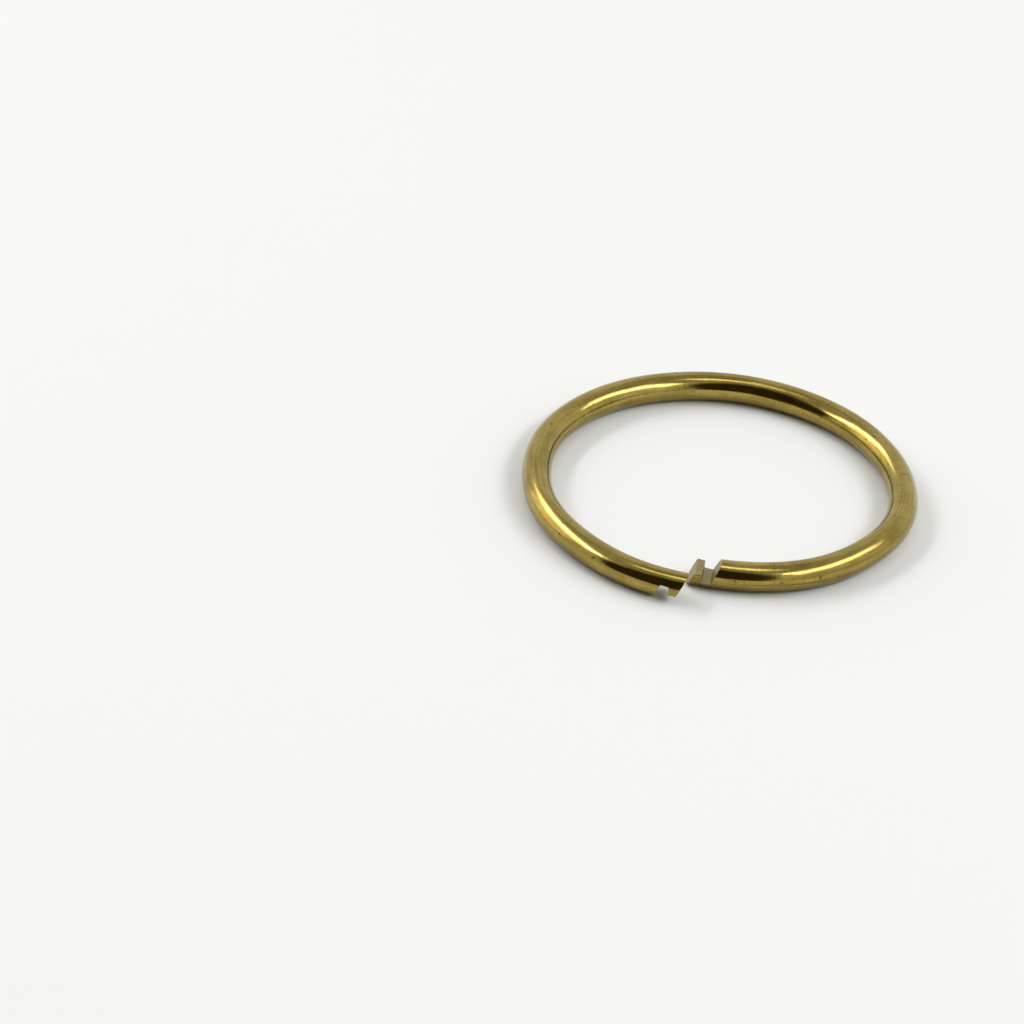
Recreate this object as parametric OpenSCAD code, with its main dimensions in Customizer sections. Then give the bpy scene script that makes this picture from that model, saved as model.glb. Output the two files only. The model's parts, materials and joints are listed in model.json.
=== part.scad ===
// Hooked spring key ring, bent from one piece of round brass rod.
// Its two ends are cut as matching hooks. Squeezed together and lined up, they lock in each other.
// The springy rod is drawn as short stiff sections that turn a little about upright axes.
// Every section is drawn on the hooked ring and then turned back to where it lies at rest,
// with the ring sprung open and its left end outside its right one.

/* [Rod and ring] */
// Diameter of the round rod
rod_d = 4.8; // [4.4:0.1:5]
// Outside diameter of the ring when its ends are hooked
ring_od = 63.5; // [62:0.5:72]

/* [Spring] */
// Turn at each of the two squeeze seams on a side, from hooked to sprung open
open_turn = 1.25; // [1.2:0.05:1.8]
// Turn at each of the two line-up seams on a side, which carries one end past the other
offset_turn = 3.3; // [3.3:0.05:4]

/* [Hook ends] */
// Width of each hook's tooth, along the ring
tooth_w = 1.4; // [1.2:0.05:1.5]
// Depth of each hook's notch, which is also its tooth's height
tooth_h = 1.3; // [1:0.1:1.5]
// Slant of the end faces from upright
face_slant = 24.5; // [20:0.5:26]
// Slope of the notch floors and tooth tops, down towards the right
floor_slope = 5; // [0:0.5:6]
// Turn of the cut from straight across the rod, seen from above
cut_turn = 3.5; // [0:0.5:4]
// Play between the two hooks when they are locked
hook_play = 0.15; // [0.1:0.01:0.2]

/* [Sections] */
// Gap between one section of the rod and the next
seam_gap = 0.4; // [0.35:0.05:0.6]

/* [Hidden] */
// Angles go round the ring from the hooks, at the front, towards the right.
// On each side the rod bends at four seams, from the back to the hooks.
SEAMS = [155, 120, 80, 35];
SQUEEZE_SEAMS = 2;

RIGHT = 1;
LEFT = -1;

rod_r = rod_d / 2;
ring_r = ring_od / 2 - rod_r;
half_gap = seam_gap / 2 / ring_r * 180 / PI;

// Each hook reaches this far past the middle of the joint
slant = tan(face_slant);
slope = tan(floor_slope);
face_offset = tooth_w + tooth_h / 2 * slant;
hook_reach = face_offset + rod_r * slant + rod_r * sin(cut_turn);
cut_margin = 1;
reach_angle = asin((hook_reach + cut_margin) / (ring_r - rod_r));

ring_facets = 96;
rod_facets = 48;

// A point on the rod's centre line, at an angle round the hooked ring
function ring_point(angle) = [ring_r * sin(angle), -ring_r * cos(angle), 0];

// The turn from hooked to rest at one seam: squeeze seams open, line-up seams both turn one way
function rest_turn(side, seam) = seam < SQUEEZE_SEAMS ? side * open_turn : -offset_turn;

// A stretch of the rod between two angles round the hooked ring
module rod_arc(from, to) {
    rotate([0, 0, from - 90])
        rotate_extrude(angle = to - from, $fn = ring_facets)
            translate([ring_r, 0])
                circle(d = rod_d, $fn = rod_facets);
}

// Where a slanted face meets a sloping level; each is given by where it crosses the rod's middle
function corner(face, level) =
    let (x = (face + slant * level) / (1 + slant * slope))
    [x, level - slope * x];

// What is cut away beyond a hook: everything left of the stepped joint line.
// Every face of the hook stands back from that line by half the play.
module hook_waste(side) {
    play = hook_play / 2;
    step = tooth_h / 2;
    top = rod_r + cut_margin;
    face_play = play / cos(face_slant);
    tip = face_play - face_offset;
    shoulder = face_play + face_offset;
    tooth_level = step - play;
    notch_level = -step - play;
    left = -ring_r * sin(reach_angle) - 2 * cut_margin;
    translate([0, -ring_r, 0])
        rotate([0, 0, side * cut_turn])
            rotate([90, 0, 0])
                linear_extrude(height = 2 * top, center = true)
                    polygon([[left, -top],
                             [tip - top * slant, -top],
                             corner(tip, tooth_level),
                             [-play, tooth_level + slope * play],
                             [-play, notch_level + slope * play],
                             corner(shoulder, notch_level),
                             [shoulder + top * slant, top],
                             [left, top]]);
}

// The left half of the rod is the right half turned over about the line from front to back
module on_side(side) {
    rotate([0, side == RIGHT ? 0 : 180, 0])
        children();
}

// Turns what follows about the upright axis of a seam
module turned(angle, turn) {
    translate(ring_point(angle))
        rotate([0, 0, turn])
            translate(-ring_point(angle))
                children();
}

// Carries a piece from the hooked ring to its place at rest, past the first seams of its side
module at_rest(side, passed) {
    if (passed == 0)
        children();
    else
        at_rest(side, passed - 1)
            turned(side * SEAMS[passed - 1], rest_turn(side, passed - 1))
                children();
}

// The stiff stretch of rod that follows a side's first, second or third seam
module rod_section(side, passed) {
    at_rest(side, passed)
        on_side(side)
            rod_arc(SEAMS[passed] + half_gap, SEAMS[passed - 1] - half_gap);
}

// The stretch after the last seam, which ends in a hook
module hooked_section(side) {
    at_rest(side, len(SEAMS))
        on_side(side)
            difference() {
                rod_arc(-reach_angle, SEAMS[len(SEAMS) - 1] - half_gap);
                hook_waste(side);
            }
}

// The fixed middle of the rod, opposite the hooks
module back_section() {
    color("goldenrod") rod_arc(SEAMS[0] + half_gap, 360 - SEAMS[0] - half_gap);
}

module right_rear_section() {
    color("darkgoldenrod") rod_section(RIGHT, 1);
}

module right_side_section() {
    color("goldenrod") rod_section(RIGHT, 2);
}

module right_front_section() {
    color("darkgoldenrod") rod_section(RIGHT, 3);
}

module right_hook_arm() {
    color("goldenrod") hooked_section(RIGHT);
}

module left_rear_section() {
    color("darkgoldenrod") rod_section(LEFT, 1);
}

module left_side_section() {
    color("goldenrod") rod_section(LEFT, 2);
}

module left_front_section() {
    color("darkgoldenrod") rod_section(LEFT, 3);
}

module left_hook_arm() {
    color("goldenrod") hooked_section(LEFT);
}

back_section();
right_rear_section();
right_side_section();
right_front_section();
right_hook_arm();
left_rear_section();
left_side_section();
left_front_section();
left_hook_arm();
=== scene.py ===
"""Looks of the hooked spring key ring: one bent brass rod whose two ends lock in each other.
"""

import json
import math
from collections import namedtuple

import bmesh
import bpy
import numpy as np
from mathutils import Matrix, Quaternion, Vector

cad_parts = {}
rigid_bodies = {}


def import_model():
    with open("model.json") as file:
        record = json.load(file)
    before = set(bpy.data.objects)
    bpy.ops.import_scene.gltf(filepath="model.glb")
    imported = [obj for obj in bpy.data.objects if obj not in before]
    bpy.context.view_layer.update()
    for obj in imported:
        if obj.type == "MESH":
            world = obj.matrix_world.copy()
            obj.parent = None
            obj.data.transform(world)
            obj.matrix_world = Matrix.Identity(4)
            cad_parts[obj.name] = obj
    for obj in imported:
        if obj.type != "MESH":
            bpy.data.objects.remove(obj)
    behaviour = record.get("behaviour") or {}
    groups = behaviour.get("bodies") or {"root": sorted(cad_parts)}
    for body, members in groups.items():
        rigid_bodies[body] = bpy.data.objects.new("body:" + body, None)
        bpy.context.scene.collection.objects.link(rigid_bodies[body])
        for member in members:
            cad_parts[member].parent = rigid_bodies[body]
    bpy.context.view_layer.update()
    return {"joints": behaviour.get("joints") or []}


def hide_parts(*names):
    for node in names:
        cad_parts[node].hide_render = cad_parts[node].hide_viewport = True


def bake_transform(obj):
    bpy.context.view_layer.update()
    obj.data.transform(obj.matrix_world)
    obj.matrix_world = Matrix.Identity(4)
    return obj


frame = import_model()

MM = 0.001

# The rod and the hooked ring
ROD_R = 2.4 * MM
RING_R = 29.35 * MM

# The hooks: the same joint line as in the CAD source. A slanted face is given by where it crosses
# the rod's middle, and a level by its height there.
STEP = 0.65 * MM
SLANT = math.tan(math.radians(24.5))
SLOPE = math.tan(math.radians(5))
CUT_TURN = math.radians(3.5)
HALF_PLAY = 0.075 * MM
FACE_OFFSET = 1.4 * MM + STEP * SLANT
FACE_PLAY = HALF_PLAY * math.hypot(1, SLANT)
TIP_FACE = FACE_PLAY - FACE_OFFSET
SHOULDER_FACE = FACE_PLAY + FACE_OFFSET
TOOTH_LEVEL = STEP - HALF_PLAY
NOTCH_LEVEL = -STEP - HALF_PLAY
CORNER_ROUNDING = 0.2 * MM
CORNER_SEGMENTS = 4
EDGE_ROUNDING = 0.06 * MM
EDGE_SEGMENTS = 2
SHARP_OVER = math.radians(30)
BITING_OVER = math.radians(80)
HOOK_REACH = 10 * MM
WELD_WITHIN = 0.0001 * MM

# Each side's stretches of rod, from the hook to the back. Angles are in degrees round the ring from the
# joint line: a stretch runs from front to back, and bends between its back and bend_end.
Stretch = namedtuple("Stretch", "name joint front back bend_end node")
HOOK_STRETCH = Stretch("hook", "line_up_{}_front", 0.0, 57.5, 12.5, "{}_hook_arm")
PLAIN_STRETCHES = [
    Stretch("front", "line_up_{}_side", 57.5, 100.0, 57.5, "{}_front_section"),
    Stretch("side", "squeeze_{}_rear", 100.0, 137.5, 100.0, "{}_side_section"),
    Stretch("rear", "squeeze_{}_back", 137.5, 180.0, 137.5, "{}_rear_section"),
]
SIDES = {"right": 1, "left": -1}

# How finely the rod is drawn. Steps are in degrees round the ring, and rows count upwards from the rod's
# bottom. The rows of the hook's arm become level over the first third of its length.
ANGLE_STEP = 0.6
CUT_STEPS = (0.03, 0.12, 0.35)
NOTCH_ROW = 13
TOOTH_ROW = 18
TOP_ROW = 32
LEVELS = np.linspace(-math.pi / 2, math.pi / 2, TOP_ROW + 1)
TOOTH_COLUMNS = 5
NOTCH_COLUMNS = 5
LEVEL_OUT_SPEED = 3

REST_ROUNDS = 6
KEEP_SHARP_OVER = math.radians(40)

# The attribute that carries each point's place on the rod, the two finishes' places in a piece's material
# slots, and the colour sockets of the mix node
PLACE = "rod_place"
POLISHED = 0
CUT = 1
MIX_FIRST = 6
MIX_SECOND = 7
MIX_RESULT = 2

# Colours, in linear light
DULL_GOLD = (0.250, 0.184, 0.038)
BRIGHT_GOLD = (0.485, 0.368, 0.102)
BRUSHED_LINE = (0.175, 0.128, 0.036)
DRAWN_LINE = (0.200, 0.140, 0.030)
PIT = (0.070, 0.043, 0.014)
DULL_CUT = (0.245, 0.195, 0.090)
PALE_CUT = (0.385, 0.318, 0.170)
FLOOR_PAPER = (0.76, 0.76, 0.755, 1)
TENT_SIDE = (0.86, 0.86, 0.84)
TENT_TOP = (0.54, 0.54, 0.53)
TENT_OPENING = (0.045, 0.036, 0.014)
WHITE = (1, 1, 1)
COOL_WHITE = (0.86, 0.93, 1.0)
LEMON_WHITE = (1.0, 1.0, 0.88)
AMBER = (1.0, 0.80, 0.46)

# The camera. Angles are in degrees, the ring's place is seen from the camera, and the sensor and lens are
# in millimetres.
CAMERA_ELEVATION = 33.12
CAMERA_HEADING = 5.683
CAMERA_ROLL = 5.117
RING_IN_VIEW = Vector((34.38, 5.18, -978.3)) * MM
SENSOR_WIDTH = 36
LENS = 208.6
NEAREST_SEEN = 0.05
FURTHEST_SEEN = 50

# The studio, in metres and degrees: azimuth 0 is the front (-Y) and 90 the right. The tent dims between
# two heights, where 1 is straight up, and its opening darkens from the outer angle to the inner one.
FLOOR_HALF = 12.0
LIGHT_DISTANCE = 1.2
TENT_DIMS_FROM = 0.6
TENT_DIMS_TO = 0.85
OPENING_AZIMUTH = -17
OPENING_ELEVATION = 22
OPENING_OUTER = 49
OPENING_INNER = 41


# ---------- points on the hooked ring ----------

def rod_point(angle, level, sheet):
    """A point on the rod: sheet 1 is its outer side and -1 its inner side."""
    reach = RING_R + sheet * ROD_R * math.cos(level)
    return (reach * math.sin(angle), -reach * math.cos(angle), ROD_R * math.sin(level))


def profile_point(x, z, sheet, turn):
    """The angle and level of the rod's surface at (x, z) of the joint line, with the cut turned."""
    level = math.asin(max(-1.0, min(1.0, z / ROD_R)))
    reach = RING_R + sheet * ROD_R * math.cos(level)
    return turn + math.asin((x - RING_R * math.sin(turn)) / reach), level


def centre_point(angle):
    return Vector((RING_R * math.sin(angle), -RING_R * math.cos(angle), 0.0))


def graded(start, end):
    """Angles from start to end in degrees, closer together at both ends so that neighbours shade alike."""
    inner = np.linspace(start + CUT_STEPS[-1], end - CUT_STEPS[-1],
                        round((end - start) / ANGLE_STEP))
    near_start = [start] + [start + step for step in CUT_STEPS[:-1]]
    near_end = [end - step for step in reversed(CUT_STEPS[:-1])] + [end]
    return np.radians(np.concatenate([near_start, inner, near_end]))


# ---------- meshes ----------

def sheet_patch(faces, rows, columns, place, sheet):
    """Quads over a grid of the rod's surface; place gives the point of a row and column."""
    for row in rows[:-1]:
        for column in columns[:-1]:
            corners = [(row, column), (row, column + 1), (row + 1, column + 1), (row + 1, column)]
            faces.append(([place(r, c, sheet) for r, c in corners], POLISHED))


def wall(faces, line, material):
    """Quads from a line on the outer side to the same line on the inner side.

    Each entry of line is a function that gives its point on either side.
    """
    for near, far in zip(line[:-1], line[1:]):
        outer = [near(1), far(1)]
        inner = [far(-1), near(-1)]
        faces.append((outer + inner, material))


def welded(faces):
    """A bmesh of separate faces joined where their corners meet, all facing outward."""
    mesh = bmesh.new()
    for corners, material in faces:
        made = mesh.faces.new([mesh.verts.new(corner) for corner in corners])
        made.material_index = material
    bmesh.ops.remove_doubles(mesh, verts=mesh.verts[:], dist=WELD_WITHIN)
    bmesh.ops.recalc_face_normals(mesh, faces=mesh.faces[:])
    return mesh


def plain_rod(start, end):
    """A closed stretch of plain rod between two angles in degrees."""
    angles = graded(start, end)
    faces = []

    def place(row, column, sheet):
        return rod_point(angles[column], LEVELS[row], sheet)

    rows = range(len(LEVELS))
    columns = range(len(angles))
    for sheet in (1, -1):
        sheet_patch(faces, rows, columns, place, sheet)
    for column in (0, len(angles) - 1):
        wall(faces, [lambda s, r=row, c=column: place(r, c, s) for row in rows], POLISHED)
    return welded(faces)


def corner(face, level):
    """Where a slanted face meets a sloping level, as (x, z)."""
    x = (face + SLANT * level) / (1 + SLANT * SLOPE)
    return x, level - SLOPE * x


def row_heights(notch_z, tooth_z=None):
    """The height of each row of faces, when the notch row and the tooth row are at these heights."""
    rows = [0, NOTCH_ROW, TOP_ROW]
    heights = [-ROD_R, notch_z, ROD_R]
    if tooth_z is not None:
        rows.insert(2, TOOTH_ROW)
        heights.insert(2, tooth_z)
    levels = [math.asin(height / ROD_R) for height in heights]
    return ROD_R * np.sin(np.interp(range(TOP_ROW + 1), rows, levels))


def hook_rod(end, turn):
    """The stretch that ends in a hook: a tooth that points up behind the slanted end face, and a notch.

    Its plain end is at the angle end, in degrees. The whole cut is turned by turn, in radians.
    """
    shares = (graded(0.0, end) / math.radians(end)).tolist()
    faces = []
    foot_x, foot_z = corner(SHOULDER_FACE, NOTCH_LEVEL)
    tip_z = row_heights(corner(TIP_FACE, NOTCH_LEVEL)[1], corner(TIP_FACE, TOOTH_LEVEL)[1])
    wall_z = row_heights(NOTCH_LEVEL + SLOPE * HALF_PLAY, TOOTH_LEVEL + SLOPE * HALF_PLAY)
    foot_rows = row_heights(foot_z)

    def between(column, columns, start, finish, sheet):
        x, z = (np.interp(column, [0, columns], pair) for pair in zip(start, finish))
        angle, level = profile_point(x, z, sheet, turn)
        return rod_point(angle, level, sheet)

    def tooth(row, column, sheet):
        start = (TIP_FACE + SLANT * tip_z[row], tip_z[row])
        return between(column, TOOTH_COLUMNS, start, (-HALF_PLAY, wall_z[row]), sheet)

    def notch(row, column, sheet):
        start = (-HALF_PLAY, wall_z[row])
        return between(column, NOTCH_COLUMNS, start, (foot_x, foot_rows[row]), sheet)

    def arm(row, column, sheet):
        z = foot_rows[row]
        x = foot_x if row <= NOTCH_ROW else SHOULDER_FACE + SLANT * z
        start, start_level = profile_point(x, z, sheet, turn)
        share = shares[column]
        level = start_level + min(1.0, LEVEL_OUT_SPEED * share) * (LEVELS[row] - start_level)
        return rod_point(start + share * (math.radians(end) - start), level, sheet)

    low_rows = range(NOTCH_ROW + 1)
    tooth_rows = range(TOOTH_ROW + 1)
    all_rows = range(TOP_ROW + 1)
    tooth_columns = range(TOOTH_COLUMNS + 1)
    notch_columns = range(NOTCH_COLUMNS + 1)
    for sheet in (1, -1):
        sheet_patch(faces, tooth_rows, tooth_columns, tooth, sheet)
        sheet_patch(faces, low_rows, notch_columns, notch, sheet)
        sheet_patch(faces, all_rows, range(len(shares)), arm, sheet)

    def line(place, rows, columns):
        return [lambda s, r=r, c=c: place(r, c, s) for r in rows for c in columns]

    wall(faces, line(tooth, tooth_rows, [0]), CUT)
    wall(faces, line(tooth, [TOOTH_ROW], tooth_columns), CUT)
    wall(faces, line(tooth, range(NOTCH_ROW, TOOTH_ROW + 1), [TOOTH_COLUMNS]), CUT)
    wall(faces, line(notch, [NOTCH_ROW], notch_columns), CUT)
    wall(faces, line(arm, range(NOTCH_ROW, TOP_ROW + 1), [0]), CUT)
    wall(faces, line(arm, all_rows, [len(shares) - 1]), POLISHED)
    mesh = welded(faces)
    round_hook(mesh)
    return mesh


def sharp_edges(mesh):
    """The hook's sharp edges, without those of the hidden cut at the stretch's other end."""
    return [edge for edge in mesh.edges
            if edge.calc_face_angle(0) > SHARP_OVER and edge.verts[0].co.x < HOOK_REACH]


def bevel(mesh, edges, width, segments, material):
    bmesh.ops.bevel(mesh, geom=edges, offset=width, offset_type="OFFSET", segments=segments,
                    profile=0.5, affect="EDGES", clamp_overlap=True, material=material)


def round_hook(mesh):
    """Rounds the corners between cut faces, apart from the tooth's biting edge, and then every rim."""
    corners = [edge for edge in sharp_edges(mesh)
               if all(face.material_index == CUT for face in edge.link_faces)
               and not (edge.is_convex and edge.calc_face_angle() > BITING_OVER)]
    bevel(mesh, corners, CORNER_ROUNDING, CORNER_SEGMENTS, CUT)
    bevel(mesh, sharp_edges(mesh), EDGE_ROUNDING, EDGE_SEGMENTS, POLISHED)


# ---------- from the hooked ring to rest ----------

def turn_about(joint, degrees):
    """The turn about a joint's axis by that angle, as a matrix."""
    pivot = Matrix.Translation(joint["pos_m"])
    turn = Matrix.Rotation(math.radians(degrees), 4, Vector(joint["axis"]))
    return pivot @ turn @ pivot.inverted()


def hooked_places(joints):
    """Each body's place when every joint is at its upper limit, which is the hooked ring."""
    places = {"back": Matrix.Identity(4)}
    waiting = list(joints)
    while waiting:
        ready = [joint for joint in waiting if joint["parent"] in places]
        for joint in ready:
            turn = turn_about(joint, joint["range_deg"][1])
            places[joint["child"]] = places[joint["parent"]] @ turn
        waiting = [joint for joint in waiting if joint not in ready]
    return places


def bend_share(points, start, end):
    along = np.array(end - start)
    share = np.clip((points - np.array(start)) @ along / (along @ along), 0, 1)
    return share * share * (3 - 2 * share)


def turned_points(points, joint, angles):
    """Points turned about a joint's upright axis, each by its own angle."""
    pivot = np.array(joint["pos_m"])
    angles = angles * joint["axis"][2]
    x, y = (points - pivot)[:, 0], (points - pivot)[:, 1]
    moved = points.copy()
    moved[:, 0] = pivot[0] + x * np.cos(angles) - y * np.sin(angles)
    moved[:, 1] = pivot[1] + x * np.sin(angles) + y * np.cos(angles)
    return moved


def at_rest(points, joint, places, start, end):
    """Where points of the hooked ring lie at rest, on a stretch that bends at one joint.

    How far a point turns depends on where it ends up, so its place is worked out in a few rounds.
    """
    back = np.array(places[joint["parent"]].inverted())
    held = points @ back[:3, :3].T + back[:3, 3]
    full_turn = math.radians(joint["range_deg"][1])
    settled = held
    for _ in range(REST_ROUNDS):
        share = bend_share(settled, start, end)
        settled = turned_points(held, joint, -share * full_turn)
    return settled


# ---------- materials ----------

def add_node(tree, kind, **values):
    """A new node. Each value sets the setting of that name or, if there is none, the socket."""
    node = tree.nodes.new(kind)
    for name, value in values.items():
        if hasattr(node, name):
            setattr(node, name, value)
        else:
            node.inputs[name].default_value = value
    return node


def new_material(name):
    material = bpy.data.materials.new(name)
    material.use_nodes = True
    return material, material.node_tree, material.node_tree.nodes["Principled BSDF"]


def stretched_place(tree, across, along):
    """The place on the rod, scaled across it and along it, so that a pattern can run lengthwise."""
    place = add_node(tree, "ShaderNodeAttribute", attribute_name=PLACE)
    scale = add_node(tree, "ShaderNodeVectorMath", operation="MULTIPLY")
    scale.inputs[1].default_value = (across, across, along)
    tree.links.new(place.outputs["Vector"], scale.inputs[0])
    return scale.outputs[0]


def noise(tree, across, along, detail, roughness=0.5):
    """A noise pattern that varies this many times in a metre across the rod and along it."""
    texture = add_node(tree, "ShaderNodeTexNoise", Scale=1.0, Detail=detail, Roughness=roughness)
    tree.links.new(stretched_place(tree, across, along), texture.inputs["Vector"])
    return texture.outputs["Fac"]


def ramp(tree, source, stops):
    """A colour ramp; stops are (position, grey value or colour)."""
    node = add_node(tree, "ShaderNodeValToRGB")
    points = node.color_ramp.elements
    while len(points) < len(stops):
        points.new(0.5)
    for point, (position, value) in zip(points, stops):
        point.position = position
        point.color = (*value, 1) if isinstance(value, tuple) else (value, value, value, 1)
    tree.links.new(source, node.inputs["Fac"])
    return node.outputs["Color"]


def mix_colour(tree, share, first, second):
    """The first colour at share 0 and the second at 1; share is a socket, a colour a socket or a value."""
    node = add_node(tree, "ShaderNodeMix", data_type="RGBA")
    sockets = (node.inputs["Factor"], node.inputs[MIX_FIRST], node.inputs[MIX_SECOND])
    for socket, value in zip(sockets, (share, first, second)):
        if isinstance(value, bpy.types.NodeSocket):
            tree.links.new(value, socket)
        else:
            socket.default_value = (*value, 1)
    return node.outputs[MIX_RESULT]


def bump(tree, height, distance, strength, below=None):
    """A bump of that height pattern, on top of the one below."""
    node = add_node(tree, "ShaderNodeBump", Distance=distance, Strength=strength)
    tree.links.new(height, node.inputs["Height"])
    if below is not None:
        tree.links.new(below, node.inputs["Normal"])
    return node.outputs["Normal"]


def brass_material():
    """Polished brass: olive gold with a mottled bloom, fine lines both ways and small pits."""
    material, tree, shader = new_material("polished_brass")
    shader.inputs["Metallic"].default_value = 1.0

    bloom = noise(tree, across=420, along=110, detail=6, roughness=0.7)
    gold = ramp(tree, bloom, [(0.32, DULL_GOLD), (0.68, BRIGHT_GOLD)])
    brushed = noise(tree, across=260, along=3400, detail=4, roughness=0.65)
    brush_share = ramp(tree, brushed, [(0.45, 0.0), (0.78, 0.4)])
    brushed_gold = mix_colour(tree, brush_share, gold, BRUSHED_LINE)
    drawn = noise(tree, across=2400, along=45, detail=4, roughness=0.65)
    line_share = ramp(tree, drawn, [(0.50, 0.0), (0.68, 0.75)])
    lined_gold = mix_colour(tree, line_share, brushed_gold, DRAWN_LINE)
    pits = noise(tree, across=1500, along=1200, detail=2)
    pit_share = ramp(tree, pits, [(0.68, 0.0), (0.74, 0.8)])
    colour = mix_colour(tree, pit_share, lined_gold, PIT)
    tree.links.new(colour, shader.inputs["Base Color"])

    wear = noise(tree, across=700, along=120, detail=5, roughness=0.65)
    gloss = ramp(tree, wear, [(0.3, 0.05), (0.72, 0.17)])
    drawn_gloss = (0.25, 0.25, 0.25)
    lined_gloss = mix_colour(tree, line_share, gloss, drawn_gloss)
    tree.links.new(lined_gloss, shader.inputs["Roughness"])

    ripple = noise(tree, across=420, along=240, detail=2)
    rippled = bump(tree, ripple, distance=0.05 * MM, strength=0.5)
    lined = bump(tree, drawn, distance=0.03 * MM, strength=0.6, below=rippled)
    crossed = bump(tree, brushed, distance=0.01 * MM, strength=0.5, below=lined)
    tree.links.new(crossed, shader.inputs["Normal"])
    return material


def cut_material():
    """Sawn and filed brass inside the hooks: paler, greyer and duller than the polished rod."""
    material, tree, shader = new_material("cut_brass")
    shader.inputs["Metallic"].default_value = 1.0

    tone = noise(tree, across=1100, along=1100, detail=5, roughness=0.7)
    colour = ramp(tree, tone, [(0.3, DULL_CUT), (0.7, PALE_CUT)])
    tree.links.new(colour, shader.inputs["Base Color"])
    gloss = ramp(tree, tone, [(0.3, 0.38), (0.7, 0.55)])
    tree.links.new(gloss, shader.inputs["Roughness"])

    marks = noise(tree, across=1200, along=7000, detail=3)
    filed = bump(tree, marks, distance=0.03 * MM, strength=0.6)
    tree.links.new(filed, shader.inputs["Normal"])
    return material


# ---------- the rod ----------

def rod_places(points):
    """Each point of the hooked ring as (outward, up, along the rod from the back), for the patterns.

    Angles run on past the back, so that a pattern doesn't jump there.
    """
    angle = np.arctan2(points[:, 0], -points[:, 1])
    angle = np.where(angle < -math.pi / 2, angle + 2 * math.pi, angle)
    outward = np.hypot(points[:, 0], points[:, 1]) - RING_R
    return np.column_stack([outward, points[:, 2], RING_R * (math.pi - angle)])


def vertex_points(mesh):
    points = np.empty(len(mesh.vertices) * 3)
    mesh.vertices.foreach_get("co", points)
    return points.reshape(-1, 3)


def shade(piece):
    """Smooth shading that keeps flat faces flat and the hidden cuts sharp."""
    piece.data.polygons.foreach_set("use_smooth", [True] * len(piece.data.polygons))
    piece.data.set_sharp_from_angle(angle=KEEP_SHARP_OVER)
    weighted = piece.modifiers.new("weighted", "WEIGHTED_NORMAL")
    weighted.keep_sharp = True
    with bpy.context.temp_override(object=piece, active_object=piece, selected_objects=[piece]):
        bpy.ops.object.modifier_apply(modifier=weighted.name)


def rod_piece(name, shape, side, materials):
    """An object with the shape on the hooked ring; the left half is the right half turned over."""
    data = bpy.data.meshes.new(name)
    shape.to_mesh(data)
    points = vertex_points(data)
    place = data.attributes.new(PLACE, "FLOAT_VECTOR", "POINT")
    turned_over = np.array([1, side, side])
    place.data.foreach_set("vector", (rod_places(points) * turned_over).astype(np.float32).ravel())
    points = points * np.array([side, 1, side])
    data.vertices.foreach_set("co", points.ravel())
    for material in materials:
        data.materials.append(material)
    piece = bpy.data.objects.new(name, data)
    bpy.context.scene.collection.objects.link(piece)
    return piece


def bend_over_joint(piece, joint, places, start_angle, end_angle):
    """Puts a piece at rest, its joint's turn spread smoothly from the bend's start to its end, and shades
    it.
    """
    start = places[joint["parent"]].inverted() @ centre_point(start_angle)
    end = places[joint["child"]].inverted() @ centre_point(end_angle)
    points = vertex_points(piece.data)
    piece.data.vertices.foreach_set("co", at_rest(points, joint, places, start, end).ravel())
    piece.data.update()
    shade(piece)
    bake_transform(piece)


def build_rod():
    joints = {joint["name"]: joint for joint in frame["joints"]}
    places = hooked_places(frame["joints"])
    materials = [brass_material(), cut_material()]
    plain = [(stretch, plain_rod(stretch.front, stretch.back), materials[:1])
             for stretch in PLAIN_STRETCHES]
    for side_name, side in SIDES.items():
        hook = (HOOK_STRETCH, hook_rod(HOOK_STRETCH.back, side * CUT_TURN), materials)
        for stretch, shape, finishes in [hook] + plain:
            joint = joints[stretch.joint.format(side_name)]
            piece = rod_piece(f"rod_{side_name}_{stretch.name}", shape, side, finishes)
            bend_over_joint(piece, joint, places,
                            math.radians(side * stretch.back), math.radians(side * stretch.bend_end))
            stood_for = [stretch.node.format(side_name)]
            if stretch.name == "rear":
                stood_for.append("back_section")
            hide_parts(*stood_for)


# ---------- camera, floor and light ----------

def add_camera():
    """The photograph's view: a long lens, 33 degrees above the table, with the ring right of the middle."""
    rotation = (Matrix.Rotation(math.radians(CAMERA_HEADING), 3, "Z")
                @ Matrix.Rotation(math.radians(90 - CAMERA_ELEVATION), 3, "X")
                @ Matrix.Rotation(math.radians(CAMERA_ROLL), 3, "Z"))
    data = bpy.data.cameras.new("camera")
    data.sensor_width = SENSOR_WIDTH
    data.lens = LENS
    data.clip_start = NEAREST_SEEN
    data.clip_end = FURTHEST_SEEN
    camera = bpy.data.objects.new("camera", data)
    camera.matrix_world = Matrix.Translation(-(rotation @ RING_IN_VIEW)) @ rotation.to_4x4()
    bpy.context.scene.collection.objects.link(camera)
    bpy.context.scene.camera = camera


def add_floor():
    half = FLOOR_HALF
    height = -ROD_R
    corners = [(-half, -half, height), (half, -half, height), (half, half, height), (-half, half, height)]
    data = bpy.data.meshes.new("floor")
    data.from_pydata(corners, [], [(0, 1, 2, 3)])
    floor = bpy.data.objects.new("floor", data)
    bpy.context.scene.collection.objects.link(floor)
    material, _, shader = new_material("floor_paper")
    shader.inputs["Base Color"].default_value = FLOOR_PAPER
    shader.inputs["Roughness"].default_value = 0.9
    shader.inputs["Specular IOR Level"].default_value = 0.1
    data.materials.append(material)


def direction(azimuth, elevation):
    """The unit vector that points that way from the ring."""
    around = math.radians(azimuth)
    up = math.radians(elevation)
    return Vector((math.sin(around) * math.cos(up), -math.cos(around) * math.cos(up), math.sin(up)))


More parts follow.
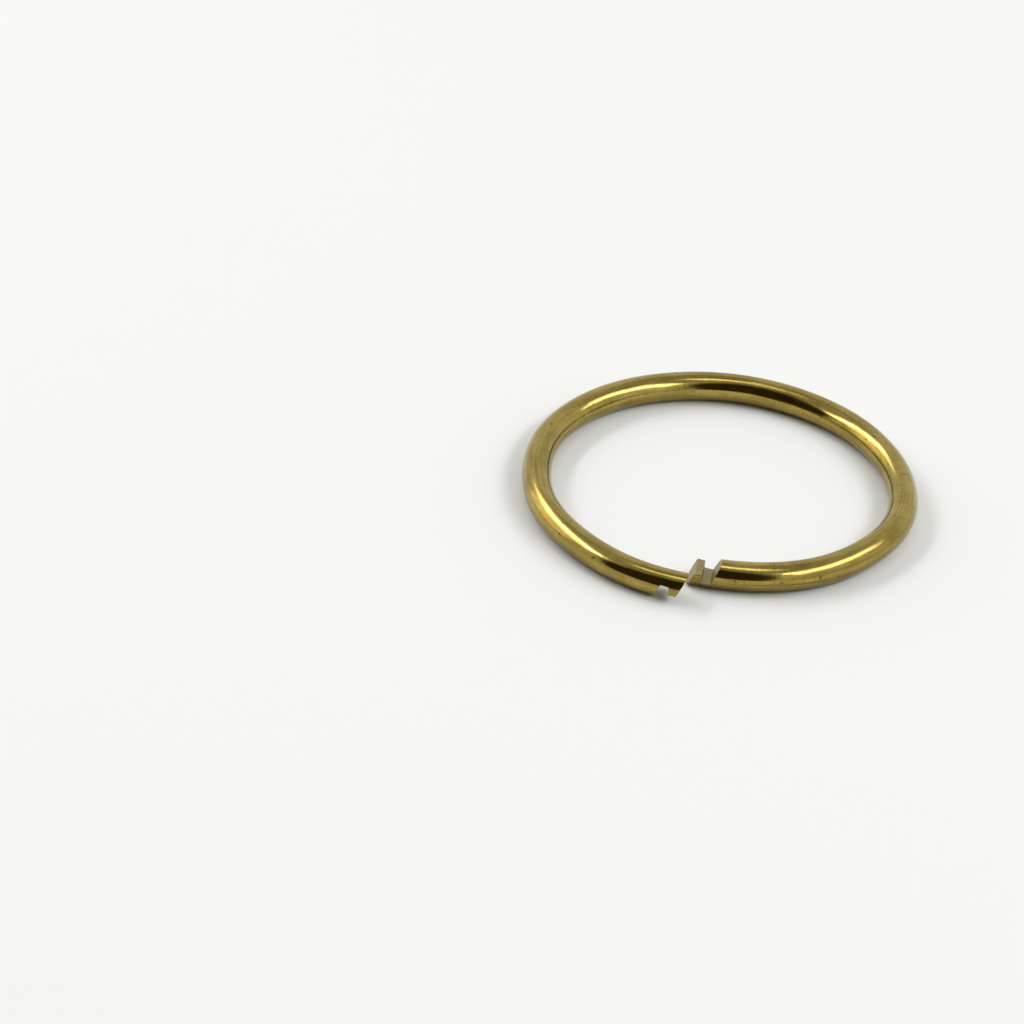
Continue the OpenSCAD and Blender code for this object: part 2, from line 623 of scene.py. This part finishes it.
def softbox(name, azimuth, elevation, width, height, power, colour=WHITE, roll=0):
    """An area light that faces the ring, tilted in its own plane by the roll."""
    data = bpy.data.lights.new(name, "AREA")
    data.shape = "RECTANGLE"
    data.size = width
    data.size_y = height
    data.energy = power
    data.color = colour
    light = bpy.data.objects.new(name, data)
    towards = direction(azimuth, elevation)
    light.location = towards * LIGHT_DISTANCE
    light.rotation_mode = "QUATERNION"
    tilt = Quaternion((0, 0, 1), math.radians(roll))
    light.rotation_quaternion = towards.to_track_quat("Z", "Y") @ tilt
    bpy.context.scene.collection.objects.link(light)


def shade_range(tree, source, low, high):
    """0 where the source is under low and 1 where it is over high, with a smooth change between."""
    node = add_node(tree, "ShaderNodeMapRange", interpolation_type="SMOOTHSTEP")
    node.inputs["From Min"].default_value = low
    node.inputs["From Max"].default_value = high
    tree.links.new(source, node.inputs["Value"])
    return node.outputs["Result"]


def add_world():
    """A pale light tent, dimmer towards its top and dark at its open front where the camera stands."""
    world = bpy.data.worlds.new("tent")
    world.use_nodes = True
    bpy.context.scene.world = world
    tree = world.node_tree
    background = tree.nodes["Background"]
    where = add_node(tree, "ShaderNodeTexCoord")
    split = add_node(tree, "ShaderNodeSeparateXYZ")
    tree.links.new(where.outputs["Generated"], split.inputs[0])
    height = shade_range(tree, split.outputs["Z"], TENT_DIMS_FROM, TENT_DIMS_TO)
    tent = mix_colour(tree, height, TENT_SIDE, TENT_TOP)
    opening = add_node(tree, "ShaderNodeVectorMath", operation="DOT_PRODUCT")
    opening.inputs[1].default_value = direction(OPENING_AZIMUTH, OPENING_ELEVATION)
    tree.links.new(where.outputs["Generated"], opening.inputs[0])
    outer_rim = math.cos(math.radians(OPENING_OUTER))
    inner_rim = math.cos(math.radians(OPENING_INNER))
    inside = shade_range(tree, opening.outputs["Value"], outer_rim, inner_rim)
    colour = mix_colour(tree, inside, tent, TENT_OPENING)
    tree.links.new(colour, background.inputs["Color"])


def add_lights():
    """A softbox on each side with a narrow bright core, a strip overhead, and a low warm glow."""
    add_world()
    softbox("right_box", azimuth=84, elevation=47, width=1.30, height=0.46, power=5.0, roll=-7)
    softbox("right_core", azimuth=80, elevation=48, width=1.10, height=0.07, power=2.4,
            colour=COOL_WHITE, roll=-7)
    softbox("left_box", azimuth=-108, elevation=40, width=1.30, height=0.38, power=3.8)
    softbox("left_core", azimuth=-104, elevation=43, width=1.10, height=0.07, power=3.1,
            colour=COOL_WHITE)
    softbox("top_strip", azimuth=-145, elevation=86, width=0.72, height=0.22, power=1.10,
            colour=LEMON_WHITE, roll=-59)
    softbox("warm_glow", azimuth=-104, elevation=18, width=0.85, height=0.50, power=1.2, colour=AMBER)


build_rod()
add_camera()
add_floor()
add_lights()
bpy.context.scene.view_settings.view_transform = "Standard"
